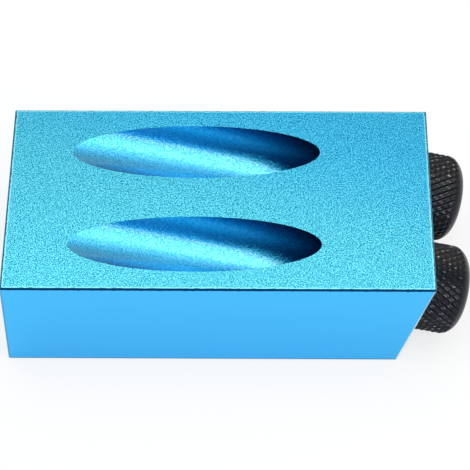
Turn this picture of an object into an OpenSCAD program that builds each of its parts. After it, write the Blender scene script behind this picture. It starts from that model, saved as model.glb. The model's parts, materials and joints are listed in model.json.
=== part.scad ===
// Pocket hole jig. A block with one undercut end carries two slanted drill passages that
// break out of its top face as long ellipses. A knurled drill guide sleeve is screwed into
// the undercut end of each passage. Sizes are millimetres and angles are degrees.

/* [Block] */
// Length of the block along its top face
block_length = 73; // [66:0.5:90]
// Width of the block across both passages
block_width = 40; // [38:0.5:60]
// Height of the block from its base to its top face
block_height = 20; // [19:0.5:30]
// Chamfer that breaks every outer edge of the block
edge_chamfer = 0.25; // [0.1:0.05:0.8]

/* [Drill passages] */
// Angle between each passage and the top face
drill_angle = 16; // [14.5:0.5:20]
// Distance between the two passage axes
passage_spacing = 20.5; // [18:0.5:24]
// Diameter of each passage
passage_d = 11.9; // [9:0.1:12.2]
// Distance from the top edge down the undercut end to each passage axis
axis_depth = 11.2; // [10.5:0.1:12]

/* [Guide sleeves] */
// Diameter of the drill bore
guide_bore_d = 8.05; // [6.05:0.5:10.05]
// Diameter of the shank, taken at the middle of its thread
shank_d = 12.4; // [12:0.1:13]
// Length of the shank below the head
shank_length = 10; // [6:0.5:12]
// Radial clearance between the shank and its socket
shank_clearance = 0.05; // [0.02:0.01:0.1]
// Diameter of the head
head_d = 15.6; // [14.5:0.1:17]
// Length of the head along its axis
head_length = 8.5; // [7:0.25:10]
// Radius of the rounded outer edge of the head
head_round = 3; // [1.5:0.25:3.5]
// Chamfer at the drill entry of the bore
entry_chamfer = 0.5; // [0.2:0.1:0.7]

/* [Knurl] */
// Number of diamonds round each head
knurl_count = 42; // [24:1:48]
// Number of half diamonds along each head
knurl_rows = 7; // [4:1:10]
// Depth of the grooves between the diamonds
knurl_depth = 0.35; // [0.15:0.05:0.5]

/* [Hidden] */
$fn = 96;
// Extra length of a cutting shape beyond the surface it cuts
over = 1;
// Small bite that joins two shapes of one piece
bite = 0.15;
end_x = block_length / 2 - axis_depth * sin(drill_angle);
end_z = block_height - axis_depth * cos(drill_angle);
base_length = block_length - block_height * tan(drill_angle);
passage_reach = (axis_depth + passage_d / 2) / tan(drill_angle) + passage_d;
socket_d = shank_d + 2 * shank_clearance;
socket_depth = shank_length + 1;
socket_chamfer = 0.4;
head_r = head_d / 2;
head_edge = 0.25;
collar = 0.5;
// The knurl stands this much below the collar and the rounded nose
knurl_sink = 0.05;
knurl_top_r = head_r - knurl_sink;
knurl_root_r = knurl_top_r - knurl_depth;
// The rounding has cut the whole knurl away where it has come this far in
nose_drop = knurl_sink + knurl_depth + 0.15;
band_end = head_length - head_round + sqrt(pow(head_round, 2) - pow(head_round - nose_drop, 2));
band_core_r = knurl_root_r - 0.6;
band_inner_r = band_core_r - 0.5;
relief_r = shank_d / 2 - 0.5;
relief_length = 1.2;
tail_chamfer = 0.6;

function unit(v) = v / norm(v);

// Outline with each corner cut back by c along both of its sides
function cut_corners(outline, c) = [
    for (i = [0 : len(outline) - 1])
        let (
            here = outline[i],
            before = outline[(i + len(outline) - 1) % len(outline)],
            after = outline[(i + 1) % len(outline)]
        )
        each [here + c * unit(before - here), here + c * unit(after - here)]
];

// Frame with its origin where a passage axis meets the undercut end and its z outward along it
module at_passage(offset_y) {
    translate([end_x, offset_y, end_z])
        rotate([0, 90 + drill_angle, 0])
            children();
}

// Side outline of the block, run across the width
module side_prism() {
    outline = [
        [-block_length / 2, 0],
        [-block_length / 2 + base_length, 0],
        [block_length / 2, block_height],
        [-block_length / 2, block_height]
    ];
    rotate([90, 0, 0])
        linear_extrude(height = block_width + 2 * over, center = true)
            polygon(cut_corners(outline, edge_chamfer));
}

// Front and back faces with the chamfers on their long edges
module cross_prism() {
    y = block_width / 2;
    slack = edge_chamfer + over;
    rotate([90, 0, 90])
        linear_extrude(height = 2 * block_length, center = true)
            polygon([
                [y - slack, -over],
                [y, edge_chamfer],
                [y, block_height - edge_chamfer],
                [y - slack, block_height + over],
                [slack - y, block_height + over],
                [-y, block_height - edge_chamfer],
                [-y, edge_chamfer],
                [slack - y, -over]
            ]);
}

// Chamfers on the two upright edges at y = 0 of a long plan outline
module end_outline() {
    y = block_width / 2;
    polygon([
        [-y - over, -over - edge_chamfer],
        [over + edge_chamfer - y, over],
        [y - over - edge_chamfer, over],
        [y + over, -over - edge_chamfer],
        [y + over, -2 * block_length],
        [-y - over, -2 * block_length]
    ]);
}

// Chamfers on the front and back edges of the square end
module square_end_prism() {
    translate([-block_length / 2, 0, 0])
        rotate([0, 0, 90])
            linear_extrude(height = 3 * block_height, center = true)
                end_outline();
}

// Chamfers on the front and back edges of the undercut end
module undercut_end_prism() {
    at_passage(0)
        rotate([90, 0, 90])
            linear_extrude(height = 4 * block_height, center = true)
                end_outline();
}

module solid_block() {
    intersection() {
        side_prism();
        cross_prism();
        square_end_prism();
        undercut_end_prism();
    }
}

// Passage, threaded socket and socket mouth of one sleeve, to be cut from the block
module passage_cut() {
    translate([0, 0, -passage_reach])
        cylinder(d = passage_d, h = passage_reach + over);
    translate([0, 0, -socket_depth])
        cylinder(d = socket_d, h = socket_depth + over);
    translate([0, 0, -socket_chamfer])
        cylinder(
            d1 = socket_d,
            d2 = socket_d + 2 * (socket_chamfer + over),
            h = socket_chamfer + over
        );
}

module jig_block() {
    color([0.1, 0.6, 0.9])
        difference() {
            solid_block();
            for (side = [-1, 1])
                at_passage(side * passage_spacing / 2)
                    passage_cut();
        }
}

// Half section of the head, left slim where the knurled band goes on
module head_section() {
    difference() {
        polygon([
            [0, 0],
            [head_r - head_edge, 0],
            [head_r, head_edge],
            [head_r, collar],
            [band_core_r, collar],
            [band_core_r, band_end],
            [head_r, band_end],
            [head_r, head_length],
            [0, head_length]
        ]);
        translate([head_r - head_round, head_length - head_round])
            difference() {
                square(head_round + over);
                circle(r = head_round);
            }
    }
}

// Half section of the shank, with its run-out groove under the head
module shank_section() {
    shank_r = shank_d / 2;
    polygon([
        [0, bite],
        [relief_r, bite],
        [relief_r, -relief_length],
        [shank_r, -relief_length - (shank_r - relief_r)],
        [shank_r, tail_chamfer - shank_length],
        [shank_r - tail_chamfer, -shank_length],
        [0, -shank_length]
    ]);
}

// Radius of the rounded head at height z above its seat
function nose_r(z) =
    let (rise = max(0, z - (head_length - head_round)))
    head_r - head_round + sqrt(pow(head_round, 2) - pow(rise, 2));

// Ring of pyramids in a chequered grid, each groove running along a cell's diagonal, with
// the pyramids cut down to the rounded nose
module knurl_band() {
    around = 2 * knurl_count;
    low = collar - bite;
    step = (band_end - collar + 2 * bite) / knurl_rows;
    inner = around * (knurl_rows + 1);
    grid = [
        for (j = [0 : knurl_rows], k = [0 : around - 1])
            let (
                z = low + j * step,
                cut_r = (j + k) % 2 == 0 ? knurl_root_r : knurl_top_r,
                r = min(cut_r, nose_r(z) - knurl_sink),
                turn = k * 360 / around
            )
            [r * cos(turn), r * sin(turn), z]
    ];
    bore = [
        for (j = [0, knurl_rows], k = [0 : around - 1])
            let (turn = k * 360 / around)
            [band_inner_r * cos(turn), band_inner_r * sin(turn), low + j * step]
    ];
    outside = [
        for (j = [0 : knurl_rows - 1], k = [0 : around - 1])
            let (
                a = j * around + k,
                b = j * around + (k + 1) % around,
                c = b + around,
                d = a + around
            )
            each (j + k) % 2 == 0 ? [[a, c, b], [a, d, c]] : [[a, d, b], [b, d, c]]
    ];
    rest = [
        for (k = [0 : around - 1])
            let (
                n = (k + 1) % around,
                top = knurl_rows * around,
                low_in = inner,
                top_in = inner + around
            )
            each [
                [k, n, low_in + n, low_in + k],
                [top + n, top + k, top_in + k, top_in + n],
                [low_in + k, low_in + n, top_in + n, top_in + k]
            ]
    ];
    polyhedron(points = concat(grid, bore), faces = concat(outside, rest));
}

// One sleeve, standing on the seat under its head
module guide_sleeve() {
    color([0.08, 0.08, 0.09])
        difference() {
            union() {
                rotate_extrude()
                    head_section();
                rotate_extrude()
                    shank_section();
                knurl_band();
            }
            translate([0, 0, -shank_length - over])
                cylinder(d = guide_bore_d, h = shank_length + head_length + 2 * over);
            translate([0, 0, head_length - entry_chamfer])
                cylinder(
                    d1 = guide_bore_d,
                    d2 = guide_bore_d + 2 * (entry_chamfer + over),
                    h = entry_chamfer + over
                );
        }
}

module guide_sleeve_front() {
    at_passage(-passage_spacing / 2)
        guide_sleeve();
}

module guide_sleeve_back() {
    at_passage(passage_spacing / 2)
        guide_sleeve();
}

jig_block();
guide_sleeve_front();
guide_sleeve_back();
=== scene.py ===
import json
import math
from types import SimpleNamespace
import bpy
import numpy as np
from mathutils import Matrix


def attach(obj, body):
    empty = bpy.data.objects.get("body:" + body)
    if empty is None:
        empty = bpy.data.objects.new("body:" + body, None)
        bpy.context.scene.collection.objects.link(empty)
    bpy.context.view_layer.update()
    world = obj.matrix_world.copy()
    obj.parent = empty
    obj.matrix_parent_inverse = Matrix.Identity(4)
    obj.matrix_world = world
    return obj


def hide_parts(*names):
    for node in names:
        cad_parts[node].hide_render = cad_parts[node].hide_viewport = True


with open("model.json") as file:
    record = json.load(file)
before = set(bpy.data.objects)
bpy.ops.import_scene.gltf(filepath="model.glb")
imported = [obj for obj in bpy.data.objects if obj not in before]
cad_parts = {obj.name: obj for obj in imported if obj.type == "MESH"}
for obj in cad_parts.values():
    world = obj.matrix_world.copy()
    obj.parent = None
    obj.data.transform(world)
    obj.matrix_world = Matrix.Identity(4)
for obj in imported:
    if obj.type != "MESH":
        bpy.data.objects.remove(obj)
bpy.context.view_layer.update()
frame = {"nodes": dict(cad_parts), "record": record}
mm = 0.001
scene = bpy.context.scene
mounts = {m["name"]: m for m in frame["record"]["mounts"]}
print("stage: frame loaded, nodes", sorted(frame["nodes"]))

# photograph's camera, lengths in mm from the middle of the block's base
photoCamera = {
    "azimuth": 0.612,
    "elevation": 51.531,
    "roll": -0.247,
    "distance": 400.37,
    "aside": 2.61,
    "above": 5.935,
    "focalPixels": 2237.0,
    "imagePixels": 470,
    "sensor": 36.0,
}


def makeCamera(c):
    # looks along -b; the aim is shifted in the picture plane, then the frame is rolled about b
    az, el, roll = (math.radians(c[k]) for k in ("azimuth", "elevation", "roll"))
    b = np.array([math.sin(az) * math.cos(el), -math.cos(az) * math.cos(el), math.sin(el)])
    right = np.array([math.cos(az), math.sin(az), 0.0])
    up = np.cross(b, right)
    x = math.cos(roll) * right + math.sin(roll) * up
    y = -math.sin(roll) * right + math.cos(roll) * up
    place = (c["aside"] * x + c["above"] * y + c["distance"] * b) * mm
    data = bpy.data.cameras.new("photoCamera")
    data.sensor_fit = "HORIZONTAL"
    data.sensor_width = c["sensor"]
    data.lens = c["focalPixels"] / c["imagePixels"] * c["sensor"]
    data.clip_start = 0.01
    data.clip_end = 20
    cam = bpy.data.objects.new("photoCamera", data)
    rows = [[*r, t] for r, t in zip(np.stack([x, y, b], 1), place)]
    cam.matrix_world = Matrix(rows + [[0, 0, 0, 1]])
    scene.collection.objects.link(cam)
    scene.camera = cam


makeCamera(photoCamera)
print("stage: camera")

# knurled screw-in guide sleeve, in mm along its axis from the seat under the head
sleeve = {
    "boreRadius": 4.025,
    "shankRadius": 6.2,
    "shankLength": 10.0,
    "tailChamfer": 0.6,
    "reliefRadius": 5.7,
    "reliefLength": 1.2,
    "headRadius": 7.8,
    "headLength": 8.5,
    "noseRound": 3.0,
    "headEdge": 0.25,
    "entryChamfer": 0.5,
    "edgeBreak": 0.12,
    "knurlCount": 42,  # diamonds round the head
    "knurlPeriod": 2.009,
    "knurlDepth": 0.35,
    "knurlSink": 0.05,
    "knurlStart": 0.5,
    "knurlFade": 0.35,
    "knurlEnd": 1.0,  # fine rows stop this far below the end of the nose
    "knurlFlat": 0.96,
    "zoneCount": 3,  # twice-rolled zones round the head
    "zoneSharp": 1.5,
    "zoneSecond": 0.7,  # depth of the second rolling, as a share of the first
    "zoneShallow": 0.5,
    "zoneLift": 0.15,
    "zoneWear": 0.45,
    "tipSeed": 11,
    "tipRows": 64,
    "tipSpread": 0.12,
    "wearFrom": 0.7,
    "threadPitch": 1.0,
    "threadDepth": 0.5,
    "threadSteep": 1.25,
    "threadCrest": 0.05,
    "cellSplit": 10,  # steps of the grid across a diamond
    "threadSplit": 9,
    "noseSplit": 16,
    "boreSplit": 14,
    "lip": 0.3,  # bare ring round the entry chamfer
    "sharpAngle": 28,
}

# middle of a twice-rolled zone of each head, in degrees, and the hand of its lines
rolledTwice = {"front": (62, -1), "back": (35, 1)}
plainShadeAndWear = 0.5  # plain black; painted groove shade lies below it and rubbed tips above


def saw(x):
    # distance from x to the nearest whole number, doubled: 0 at whole numbers, 1 halfway
    return 2 * np.abs(x - np.round(x))


def sleeveOutline(s):
    # closed half section as height and radius: tail, thread, run-out groove, seat, head, nose, entry, bore
    rb, rs, rh, lh = s["boreRadius"], s["shankRadius"], s["headRadius"], s["headLength"]
    e, nose, tail = s["edgeBreak"], s["noseRound"], -s["shankLength"]
    groove, grooveTop = s["reliefRadius"], -s["reliefLength"]
    threadTop = grooveTop - (rs - groove)
    threadZ = np.arange(tail + s["tailChamfer"], threadTop, s["threadPitch"] / s["threadSplit"])
    bandZ = np.arange(s["headEdge"], lh - s["knurlEnd"], s["knurlPeriod"] / s["cellSplit"])
    rise = np.maximum(bandZ - (lh - nose), 0)
    bandR = rh - nose + np.sqrt(nose**2 - rise**2)
    swing = np.linspace(np.arcsin(rise[-1] / nose), np.pi / 2, s["noseSplit"])[1:]
    boreZ = np.linspace(lh - s["entryChamfer"], tail + e, s["boreSplit"])
    parts = [
        ([tail, tail], [rb + e, rs - s["tailChamfer"]]),
        (threadZ, np.full(len(threadZ), rs)),
        ([threadTop, grooveTop, -e, 0], [rs, groove, groove, groove + e]),
        ([0], [rh - s["headEdge"]]),
        (bandZ, bandR),
        (lh - nose + nose * np.sin(swing), rh - nose + nose * np.cos(swing)),
        ([lh], [rb + s["entryChamfer"]]),
        (boreZ, np.full(len(boreZ), rb)),
    ]
    return np.concatenate([p[0] for p in parts]), np.concatenate([p[1] for p in parts])


def knurlRadius(s, place, turn, z):
    # two families of V grooves wound both ways; the lower wall of the two leaves flat-topped diamonds;
    # in a few zones round the head one family is rolled twice, half a pitch apart, and the other less deep
    zoneAt, hand = rolledTwice[place]
    p = turn * s["knurlCount"] / (2 * np.pi)
    q = hand * z / s["knurlPeriod"]
    a, b = p + q, p - q
    swell = np.cos(s["zoneCount"] * (turn - math.radians(zoneAt)))
    zone = np.clip(0.5 + s["zoneSharp"] * swell, 0, 1)
    twice = zone * s["zoneSecond"]
    wallA = np.minimum(saw(a), 1 - twice * saw(a)) * (1 + twice)
    wallB = 1 - (1 - saw(b)) * (1 - s["zoneShallow"] * zone)
    wall = np.minimum(wallA, wallB) / s["knurlFlat"]
    # each diamond has its own luck, which sets its height and how far its tip is rubbed
    table = np.random.default_rng(s["tipSeed"]).uniform(0, 1, (s["knurlCount"], s["tipRows"]))
    ia, ib = np.floor(a).astype(int), np.floor(b).astype(int)
    luck = table[ia % s["knurlCount"], (ia - ib) % s["tipRows"]]
    tall = 1 - s["tipSpread"] + s["tipSpread"] * luck
    fade = np.clip((z - s["knurlStart"]) / s["knurlFade"], 0, 1)
    depth = s["knurlDepth"] * (1 - s["zoneLift"] * zone)
    cut = depth * (1 - np.minimum(wall, 1) * tall) * fade
    tip = np.clip((wall - s["wearFrom"]) / (1 - s["wearFrom"]), 0, 1)
    worn = tip * luck**2 * (1 - s["zoneWear"] * zone)
    # below plain black the value paints shade into the grooves; above it the tips are rubbed
    shade = np.clip(wall / s["wearFrom"], 0, 1)
    shadeAndWear = np.where(fade > 0, plainShadeAndWear * shade + (1 - plainShadeAndWear) * worn, plainShadeAndWear)
    return s["headRadius"] - s["knurlSink"] * fade - cut, saw(a) < saw(b), shadeAndWear


def threadRadius(s, turn, z):
    # one right-hand helix: the radius falls along a flat-rooted V once per pitch
    phase = z / s["threadPitch"] - turn / (2 * np.pi)
    flank = s["threadSteep"] * (1 - saw(phase)) - s["threadCrest"]
    return s["shankRadius"] - s["threadDepth"] * np.clip(flank, 0, 1)


def closedGrid(rows, columns, swap):
    # two triangles a cell on a grid that closes both ways; swap picks the diagonal
    i, j = np.meshgrid(np.arange(rows), np.arange(columns), indexing="ij")
    a, b = i * columns + j, i * columns + (j + 1) % columns
    d, c = (a + columns) % (rows * columns), (b + columns) % (rows * columns)
    w = swap[..., None]
    one = np.where(w, np.stack([a, b, d], -1), np.stack([a, b, c], -1))
    two = np.where(w, np.stack([b, c, d], -1), np.stack([a, c, d], -1))
    return np.concatenate([one.reshape(-1, 3), two.reshape(-1, 3)])


def putMesh(name, points, triangles, sharpAngle):
    mesh = bpy.data.meshes.new(name)
    mesh.vertices.add(len(points))
    mesh.vertices.foreach_set("co", np.ascontiguousarray(points, np.float32).ravel())
    mesh.loops.add(3 * len(triangles))
    mesh.loops.foreach_set("vertex_index", triangles.astype(np.int32).ravel())
    mesh.polygons.add(len(triangles))
    mesh.polygons.foreach_set("loop_start", np.arange(0, 3 * len(triangles), 3, dtype=np.int32))
    mesh.update(calc_edges=True)
    mesh.validate()
    mesh.shade_smooth()
    mesh.set_sharp_from_angle(angle=math.radians(sharpAngle))
    piece = bpy.data.objects.new(name, mesh)
    scene.collection.objects.link(piece)
    return piece


def makeSleeve(s, place, mount):
    # outline turned about the bore axis, with the knurl and the thread cut into it
    z, r = sleeveOutline(s)
    columns = s["knurlCount"] * s["cellSplit"]
    turn = np.linspace(0, 2 * np.pi, columns, endpoint=False)
    zz, tt = np.meshgrid(z, turn, indexing="ij")
    rr = np.repeat(r[:, None], columns, 1)
    lip = s["boreRadius"] + s["entryChamfer"] + s["lip"]
    onHead = ((z >= s["headEdge"]) & (r > lip))[:, None]
    inThread = (z < -s["reliefLength"]) & (z > -s["shankLength"])
    onShank = (inThread & (r > s["reliefRadius"]))[:, None]
    knurled, swap, shadeAndWear = knurlRadius(s, place, tt, zz)
    shadeAndWear = np.where(onHead & (knurled < rr), shadeAndWear, plainShadeAndWear)
    rr = np.where(onHead, np.minimum(rr, knurled), rr)
    rr = np.where(onShank, np.minimum(rr, threadRadius(s, tt, zz)), rr)
    axis = np.array(mount["axis"])
    side = np.array([-axis[2], 0, axis[0]])
    across = np.cross(axis, side)
    points = (
        np.array(mount["pos_m"])
        + mm * zz[..., None] * axis
        + mm * (rr * np.cos(tt))[..., None] * side
        + mm * (rr * np.sin(tt))[..., None] * across
    )
    triangles = closedGrid(len(z), columns, swap & onHead)
    piece = putMesh("guideSleeve_" + place, points.reshape(-1, 3), triangles, s["sharpAngle"])
    worn = piece.data.attributes.new("shadeAndWear", "FLOAT", "POINT")
    worn.data.foreach_set("value", shadeAndWear.astype(np.float32).ravel())
    return piece


sleeves = {}
for place in ("front", "back"):
    piece = makeSleeve(sleeve, place, mounts[place + "_guide_bore"])
    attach(piece, place + "_sleeve")
    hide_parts("guide_sleeve_" + place)
    sleeves[place] = piece
    print("stage: sleeve", place, len(piece.data.polygons), "triangles")


def addNode(tree, kind, values=None, **settings):
    n = tree.nodes.new(kind)
    for key, value in settings.items():
        setattr(n, key, value)
    for key, value in (values or {}).items():
        n.inputs[key].default_value = value
    return n


def grainGroup(finer):
    # blasted grain: height is one fine noise plus a share of a finer one
    g = bpy.data.node_groups.new("blastedGrain", "ShaderNodeTree")
    for name, way in (("Grain Scale", "INPUT"), ("Fine Share", "INPUT"), ("Height", "OUTPUT")):
        g.interface.new_socket(name, in_out=way, socket_type="NodeSocketFloat")
    gin, gout = g.nodes.new("NodeGroupInput"), g.nodes.new("NodeGroupOutput")
    coords = addNode(g, "ShaderNodeTexCoord")
    coarse = addNode(g, "ShaderNodeTexNoise", {"Detail": 1.0, "Roughness": 0.6})
    fine = addNode(g, "ShaderNodeTexNoise", {"Detail": 0.0})
    fineScale = addNode(g, "ShaderNodeMath", {1: finer}, operation="MULTIPLY")
    both = addNode(g, "ShaderNodeMath", operation="MULTIPLY_ADD")
    for noise in (coarse, fine):
        g.links.new(coords.outputs["Object"], noise.inputs["Vector"])
    g.links.new(gin.outputs["Grain Scale"], coarse.inputs["Scale"])
    g.links.new(gin.outputs["Grain Scale"], fineScale.inputs[0])
    g.links.new(fineScale.outputs[0], fine.inputs["Scale"])
    g.links.new(fine.outputs["Fac"], both.inputs[0])
    g.links.new(gin.outputs["Fine Share"], both.inputs[1])
    g.links.new(coarse.outputs["Fac"], both.inputs[2])
    g.links.new(both.outputs[0], gout.inputs["Height"])
    return g


blastedGrain = grainGroup(finer=2.3)


def nodeTools(tree):
    # short calls for one material: each adds its nodes and gives back the socket with the result
    link = tree.links.new
    here = addNode(tree, "ShaderNodeTexCoord").outputs["Object"]
    axes = addNode(tree, "ShaderNodeSeparateXYZ")
    link(here, axes.inputs[0])

    def put(n, sockets):
        for key, v in sockets.items():
            if isinstance(v, (float, tuple)):
                n.inputs[key].default_value = v
            else:
                link(v, n.inputs[key])

    def calc(operation, *terms):
        n = addNode(tree, "ShaderNodeMath", operation=operation)
        put(n, dict(enumerate(terms)))
        return n.outputs[0]

    def along(direction):
        n = addNode(tree, "ShaderNodeVectorMath", {1: direction}, operation="DOT_PRODUCT")
        link(here, n.inputs[0])
        return n.outputs["Value"]

    def noise(scale, detail, at=here):
        n = addNode(tree, "ShaderNodeTexNoise", {"Scale": scale, "Detail": detail})
        link(at, n.inputs["Vector"])
        return n.outputs["Fac"]

    def span(value, first, last, curve="LINEAR"):
        ends = {"From Min": first, "From Max": last}
        n = addNode(tree, "ShaderNodeMapRange", ends, interpolation_type=curve)
        link(value, n.inputs["Value"])
        return n.outputs["Result"]

    def choose(mask, first, second):
        n = addNode(tree, "ShaderNodeMix", data_type="FLOAT")
        put(n, {0: mask, 2: first, 3: second})
        return n.outputs[0]

    def blend(mask, first, second, way="MIX"):
        n = addNode(tree, "ShaderNodeMix", data_type="RGBA", blend_type=way)
        put(n, {0: mask, 6: first, 7: second})
        return n.outputs[2]

    def grain(f):
        n = addNode(tree, "ShaderNodeGroup")
        n.node_tree = blastedGrain
        put(n, {"Grain Scale": f["grainScale"], "Fine Share": f["fineShare"]})
        return n.outputs["Height"]

    def bump(height, distance):
        n = addNode(tree, "ShaderNodeBump", {"Strength": 1.0, "Distance": distance})
        link(height, n.inputs["Height"])
        return n.outputs["Normal"]

    x, y, z = axes.outputs
    return SimpleNamespace(
        tree=tree, link=link, x=x, y=y, z=z, calc=calc, along=along, noise=noise,
        span=span, choose=choose, blend=blend, grain=grain, bump=bump,
    )


# anodised block: blasted grain, reaming rings in the passages, painted dark reflection on the broken top
# edges, painted highlights on some edges, painted shade on the foot edges and toward the back of the top;
# lengths in metres
blueFinish = {
    "topDeep": (0.0, 0.225, 0.355, 1),
    "topLight": (0.108, 0.622, 0.765, 1),
    # painted shade: tint that multiplies the top's colour toward its back edge
    "backShadeTint": (0.5, 0.87, 1.08, 1),
    "side": (0.062, 0.515, 0.965, 1),
    "boreDeep": (0.002, 0.3, 0.57, 1),
    "boreLight": (0.046, 0.455, 0.74, 1),
    # painted dark reflection along the ragged broken top edges
    "edge": (0.0, 0.11, 0.19, 1),
    # painted shade: dark line along the bottom edges and the upright left edges
    "low": (0.03, 0.29, 0.55, 1),
    # painted highlight: bright line on the edges between the sides and the slanted end
    "slantHighlight": (0.75, 0.95, 1.0, 1),
    # painted highlight: light strip on the top just inside its broken edges
    "rimHighlight": (0.30, 0.85, 0.95, 1),
    "rimHighlightShare": 0.5,
    "topRoughness": 0.27,
    "roughness": 0.2,
    "coatIor": 1.6,
    "coatRoughness": 0.18,
    "grainCoat": 0.7,
    "boreCoat": 0.8,
    "boreCoatFloor": 0.6,
    "sideCoat": 0.1,
    "grainScale": 4550.0,
    "fineShare": 0.8,
    "speckFrom": 0.85,
    "speckTo": 0.95,
    "topRelief": 0.14,
    "sideRelief": 0.02,
    "boreRelief": 0.25,
    "ringRelief": 0.22,
    "ringScale": 7000.0,
    "ringStretch": 0.22,
    "bumpDistance": 0.0001,
    "height": 0.02,
    "halfWidth": 0.02,
    "squareEnd": 0.0365,
    "topSkin": 0.00002,
    "edgeWidth": 0.00031,
    "edgeRagged": 0.00035,
    "ragScale": 1400.0,
    "lowWidth": 0.00045,
    "rimHighlightWidth": 0.00022,
    # where the painted shade on the top runs from front to back
    "backShadeAlong": (0.3, 1, 0),
    "backShadeFrom": -0.006,
    "backShadeTo": 0.022,
    "passageReach": 0.00605,
    "socketReach": 0.0066,
    "socketDepth": 0.0108,
    "threadPitch": 0.001,
    "threadRelief": 3.0,
}


def edgeMasks(f, bore, tools):
    # distance below the top plus distance to the nearest end or side: small only on the broken top edges
    calc = tools.calc
    end, axis = bore["pos_m"], bore["axis"]
    fromTop = calc("SUBTRACT", f["height"], tools.z)
    fromSide = calc("SUBTRACT", f["halfWidth"], calc("ABSOLUTE", tools.y))
    fromLeft = calc("ADD", tools.x, f["squareEnd"])
    fromEnd = calc("SUBTRACT", axis[0] * end[0] + axis[2] * end[2], tools.along(axis))
    nearest = calc("MINIMUM", calc("MINIMUM", fromSide, fromLeft), fromEnd)
    rag = calc("MAXIMUM", calc("SUBTRACT", tools.noise(f["ragScale"], 0.0), 0.5), 0.0)
    ragged = calc("MULTIPLY_ADD", rag, f["edgeRagged"], f["edgeWidth"])
    inward = calc("SUBTRACT", calc("ADD", fromTop, nearest), ragged)
    below = calc("GREATER_THAN", fromTop, f["topSkin"])
    # painted highlight on the top just inside its broken edges
    rimHighlight = calc("MULTIPLY", calc("LESS_THAN", inward, f["rimHighlightWidth"]), calc("SUBTRACT", 1.0, below))
    # painted shade along the bottom edges and the upright left edges
    footShade = calc("LESS_THAN", calc("ADD", nearest, tools.z), f["lowWidth"])
    uprightShade = calc("LESS_THAN", calc("ADD", fromSide, fromLeft), f["edgeWidth"])
    return {
        "fromEnd": fromEnd,
        "below": below,
        "rimHighlight": calc("MULTIPLY", rimHighlight, f["rimHighlightShare"]),
        # painted highlight on the edges between the sides and the slanted end
        "slantHighlight": calc("LESS_THAN", calc("ADD", fromSide, fromEnd), f["edgeWidth"]),
        "low": calc("MAXIMUM", footShade, uprightShade),
        # painted dark reflection on the broken top edges
        "edge": calc("LESS_THAN", inward, 0.0),
    }


def passageWalls(f, bore, tools, mask, grain):
    # distance to the nearer passage axis: near it the wall has rings, fine along the axis and long around it
    calc = tools.calc
    end, axis = bore["pos_m"], bore["axis"]
    run = tools.along(axis)
    rise = calc("SUBTRACT", tools.along((-axis[2], 0, axis[0])), -axis[2] * end[0] + axis[0] * end[2])
    aside = calc("SUBTRACT", calc("ABSOLUTE", tools.y), abs(end[1]))
    reach = calc("SQRT", calc("ADD", calc("MULTIPLY", rise, rise), calc("MULTIPLY", aside, aside)))
    inBore = calc("MULTIPLY", calc("LESS_THAN", reach, f["socketReach"]), mask["below"])
    ringAt = addNode(tools.tree, "ShaderNodeCombineXYZ")
    tools.link(run, ringAt.inputs[0])
    tools.link(calc("MULTIPLY", rise, f["ringStretch"]), ringAt.inputs[1])
    tools.link(calc("MULTIPLY", aside, f["ringStretch"]), ringAt.inputs[2])
    rings = calc("MULTIPLY", tools.noise(f["ringScale"], 1.0, ringAt.outputs[0]), f["ringRelief"])
    # socket thread: a ridge that climbs one pitch for each turn about the axis
    signed = calc("MULTIPLY", aside, calc("SIGN", tools.y))
    climb = calc("DIVIDE", calc("ARCTAN2", signed, rise), 2 * math.pi)
    turns = calc("ADD", calc("DIVIDE", run, f["threadPitch"]), climb)
    deep = calc("LESS_THAN", mask["fromEnd"], f["socketDepth"])
    inSocket = calc("MULTIPLY", deep, calc("GREATER_THAN", reach, f["passageReach"]))
    thread = calc("MULTIPLY", calc("MULTIPLY", calc("PINGPONG", turns, 0.5), inSocket), f["threadRelief"])
    wall = calc("MULTIPLY_ADD", grain, f["boreRelief"], rings)
    return inBore, calc("ADD", wall, thread)


def blueAnodised(f, bore):
    m = bpy.data.materials.new("blueAnodised")
    m.use_nodes = True
    tools = nodeTools(m.node_tree)
    calc, choose, blend = tools.calc, tools.choose, tools.blend
    bsdf = m.node_tree.nodes["Principled BSDF"].inputs
    bsdf["Metallic"].default_value = 1.0
    bsdf["Coat Roughness"].default_value = f["coatRoughness"]
    bsdf["Coat IOR"].default_value = f["coatIor"]
    grain = tools.grain(f)
    mask = edgeMasks(f, bore, tools)
    below = mask["below"]
    inBore, wall = passageWalls(f, bore, tools, mask, grain)
    blasted = calc("MULTIPLY", grain, choose(below, f["topRelief"], f["sideRelief"]))
    tools.link(tools.bump(choose(inBore, blasted, wall), f["bumpDistance"]), bsdf["Normal"])
    tools.link(choose(below, f["topRoughness"], f["roughness"]), bsdf["Roughness"])

    # speckle of the grain: deep and light specks on the top and in the passages, the light ones coated
    speck = tools.span(grain, f["speckFrom"], f["speckTo"])
    share = calc("MULTIPLY_ADD", inBore, f["boreCoat"] - f["grainCoat"], f["grainCoat"])
    grainy = calc("MULTIPLY", calc("MULTIPLY_ADD", inBore, f["boreCoatFloor"], speck), share)
    plain = calc("SUBTRACT", below, inBore)
    tools.link(choose(plain, grainy, f["sideCoat"]), bsdf["Coat Weight"])

    # painted shade: the top's colour darkens smoothly toward its back edge
    backShade = tools.span(tools.along(f["backShadeAlong"]), f["backShadeFrom"], f["backShadeTo"], "SMOOTHSTEP")
    top = blend(backShade, blend(speck, f["topDeep"], f["topLight"]), f["backShadeTint"], "MULTIPLY")
    color = blend(mask["rimHighlight"], top, f["rimHighlight"])
    color = blend(below, color, f["side"])
    color = blend(inBore, color, blend(speck, f["boreDeep"], f["boreLight"]))
    for name in ("slantHighlight", "low", "edge"):
        color = blend(mask[name], color, f[name])
    tools.link(color, bsdf["Base Color"])
    return m


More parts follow.
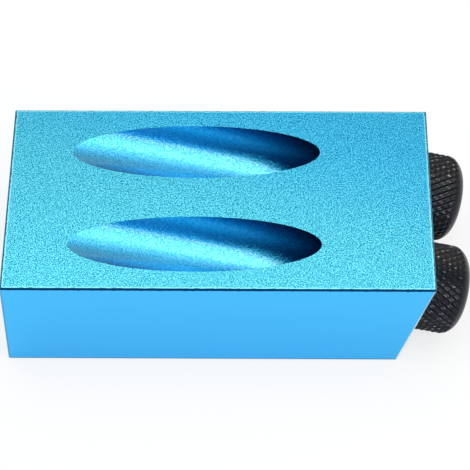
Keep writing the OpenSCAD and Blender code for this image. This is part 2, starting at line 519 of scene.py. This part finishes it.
# black oxide, darkest in the grooves of the knurl, partly oil and partly painted shade, and rubbed grey on
# some of its tips
blackFinish = {
    # painted shade in the knurl grooves, together with oil
    "groove": (0.003, 0.003, 0.004, 1),
    "color": (0.01, 0.0105, 0.0142, 1),
    "worn": (0.5, 0.54, 0.6, 1),
    "metallic": 0.6,
    "roughness": 0.32,
    "wornRoughness": 0.22,
    "grainScale": 9000.0,
    "fineShare": 0.5,
    "bumpDistance": 0.00001,
}


def blackOxide(f):
    m = bpy.data.materials.new("blackOxide")
    m.use_nodes = True
    tools = nodeTools(m.node_tree)
    bsdf = m.node_tree.nodes["Principled BSDF"].inputs
    bsdf["Metallic"].default_value = f["metallic"]
    # lower half of the attribute goes from the painted groove shade to plain black, upper half from there to
    # the worn grey
    shadeAndWear = addNode(m.node_tree, "ShaderNodeAttribute", attribute_name="shadeAndWear").outputs["Fac"]
    color = addNode(m.node_tree, "ShaderNodeValToRGB")
    stops = color.color_ramp.elements
    stops[0].color, stops[1].color = f["groove"], f["worn"]
    stops.new(plainShadeAndWear).color = f["color"]
    tools.link(shadeAndWear, color.inputs[0])
    tools.link(color.outputs[0], bsdf["Base Color"])
    rubbed = tools.span(shadeAndWear, plainShadeAndWear, 1.0)
    tools.link(tools.choose(rubbed, f["roughness"], f["wornRoughness"]), bsdf["Roughness"])
    tools.link(tools.bump(tools.grain(f), f["bumpDistance"]), bsdf["Normal"])
    return m


block = frame["nodes"]["jig_block"]
block.data.materials.clear()
block.data.materials.append(blueAnodised(blueFinish, mounts["front_guide_bore"]))
blackSteel = blackOxide(blackFinish)
for piece in sleeves.values():
    piece.data.materials.append(blackSteel)
print("stage: materials")

# white room with three soft boxes; lengths in metres
studio = {
    "floorHalf": 2.0,
    "floorColor": (0.8, 0.8, 0.8, 1),
    "cameraWhite": 0.78,
    "glossyWhite": 0.3,
    "worldBright": (0.75, 0.75, 0.75, 1),
    "worldDark": (0.02, 0.34, 0.8, 1),
    "darkToward": (0.05, -0.8, 0.6),
    "darkFrom": 0.72,
    "darkTo": 0.93,
    "boxCentre": (-0.075, 0.09, 0.5),
    "boxSize": (0.45, 0.57),
    "boxWatts": 1.3,
    "boxColor": (1, 1, 1),
    "keyCentre": (0.33, -0.19, 0.49),
    "keySize": (0.36, 0.82),
    "keyWatts": 0.75,
    "keyColor": (1, 1, 1),
    "coreCentre": (0.36, -0.29, 0.48),
    "coreSize": (0.34, 0.62),
    "coreWatts": 1.75,
    "coreColor": (0.97, 0.82, 0.5),
}


def whiteFloor(c):
    # plain white floor: part of what the camera sees is a steady white, the rest keeps the shadow
    h = c["floorHalf"]
    mesh = bpy.data.meshes.new("floor")
    mesh.from_pydata([(-h, -h, 0), (h, -h, 0), (h, h, 0), (-h, h, 0)], [], [(0, 1, 2, 3)])
    floor = bpy.data.objects.new("floor", mesh)
    scene.collection.objects.link(floor)
    m = bpy.data.materials.new("whiteFloor")
    m.use_nodes = True
    t = m.node_tree
    t.nodes.remove(t.nodes["Principled BSDF"])
    path = addNode(t, "ShaderNodeLightPath")
    paint = addNode(t, "ShaderNodeBsdfDiffuse", {"Color": c["floorColor"]})
    glow = addNode(t, "ShaderNodeEmission", {"Color": (1, 1, 1, 1), "Strength": 1.0})
    seen = addNode(t, "ShaderNodeMath", {1: c["cameraWhite"]}, operation="MULTIPLY")
    mirrored = addNode(t, "ShaderNodeMath", {1: c["glossyWhite"]}, operation="MULTIPLY_ADD")
    mix = addNode(t, "ShaderNodeMixShader")
    t.links.new(path.outputs["Is Camera Ray"], seen.inputs[0])
    t.links.new(path.outputs["Is Glossy Ray"], mirrored.inputs[0])
    t.links.new(seen.outputs[0], mirrored.inputs[2])
    t.links.new(mirrored.outputs[0], mix.inputs[0])
    t.links.new(paint.outputs[0], mix.inputs[1])
    t.links.new(glow.outputs[0], mix.inputs[2])
    t.links.new(mix.outputs[0], t.nodes["Material Output"].inputs["Surface"])
    mesh.materials.append(m)


def softBox(name, centre, size, watts, color):
    # flat soft box that hangs over the block and faces straight down
    lamp = bpy.data.lights.new(name, "AREA")
    lamp.shape = "RECTANGLE"
    lamp.size, lamp.size_y = size
    lamp.energy = watts
    lamp.color = color
    o = bpy.data.objects.new(name, lamp)
    o.location = centre
    scene.collection.objects.link(o)


def studioWorld(c):
    # even white room that turns smoothly to a deep blue toward the camera's side
    world = bpy.data.worlds.new("studio")
    scene.world = world
    world.use_nodes = True
    t = world.node_tree
    coords = addNode(t, "ShaderNodeTexCoord")
    front = np.array(c["darkToward"]) / np.linalg.norm(c["darkToward"])
    toward = addNode(t, "ShaderNodeVectorMath", {1: front}, operation="DOT_PRODUCT")
    reach = {"From Min": c["darkFrom"], "From Max": c["darkTo"]}
    level = addNode(t, "ShaderNodeMapRange", reach, interpolation_type="SMOOTHSTEP")
    color = addNode(t, "ShaderNodeMix", {6: c["worldBright"], 7: c["worldDark"]}, data_type="RGBA")
    t.links.new(coords.outputs["Generated"], toward.inputs[0])
    t.links.new(toward.outputs["Value"], level.inputs["Value"])
    t.links.new(level.outputs["Result"], color.inputs[0])
    t.links.new(color.outputs[2], t.nodes["Background"].inputs["Color"])


whiteFloor(studio)
for lampName in ("box", "key", "core"):
    softBox(lampName + "Lamp", *(studio[lampName + part] for part in ("Centre", "Size", "Watts", "Color")))
studioWorld(studio)
scene.view_settings.view_transform = "Standard"
print("stage: studio")
